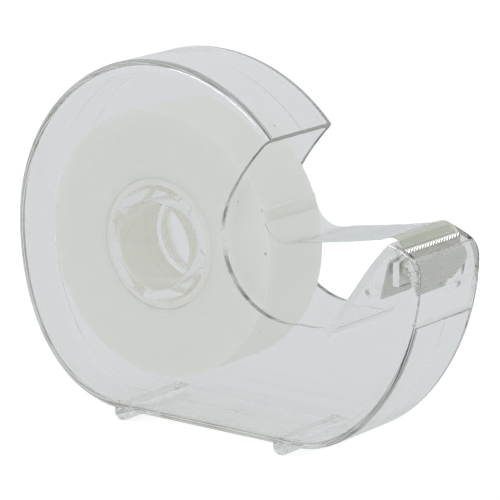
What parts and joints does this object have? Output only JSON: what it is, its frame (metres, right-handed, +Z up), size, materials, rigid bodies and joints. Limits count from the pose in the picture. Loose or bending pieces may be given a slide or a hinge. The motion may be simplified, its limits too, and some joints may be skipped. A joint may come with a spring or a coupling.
{
  "type": "tape dispenser",
  "caption": "Clear snail-shaped hand tape dispenser: two half shells with an open mouth, a tape roll on a hub tube, and a toothed steel cutter on the nose.",
  "frame": {"origin": "on the floor, under the middle of the object's length and width", "axes": "+X towards the nose with the cutter, +Y across the width towards the closed side of the hub, +Z up"},
  "size_m": [0.107, 0.024, 0.0808],
  "materials": {
    "clear_shell": "clear moulded polystyrene, polished",
    "cutter_steel": "thin stamped spring steel, satin",
    "core": "moulded off-white plastic ring",
    "tape_roll": "wound translucent film, cream side, glossy rim",
    "tape_film": "single layer of satin translucent film"
  },
  "bodies": {
    "housing": {"near_half_shell": "clear_shell", "cutter_blade": "cutter_steel", "tape_strand": "tape_film"},
    "cover": {"far_half_shell": "clear_shell"},
    "roll": {"tape_core": "core", "tape_roll": "tape_roll"}
  },
  "joints": [
    {"name": "roll_spin", "type": "hinge", "parent": "housing", "child": "roll", "pos_m": [-0.01474, 0, 0.04081], "axis": [0, 1, 0], "continuous": true},
    {"name": "cover_pull", "type": "slide", "parent": "housing", "child": "cover", "axis": [0, 1, 0], "range_m": [0, 0.03]}
  ]
}
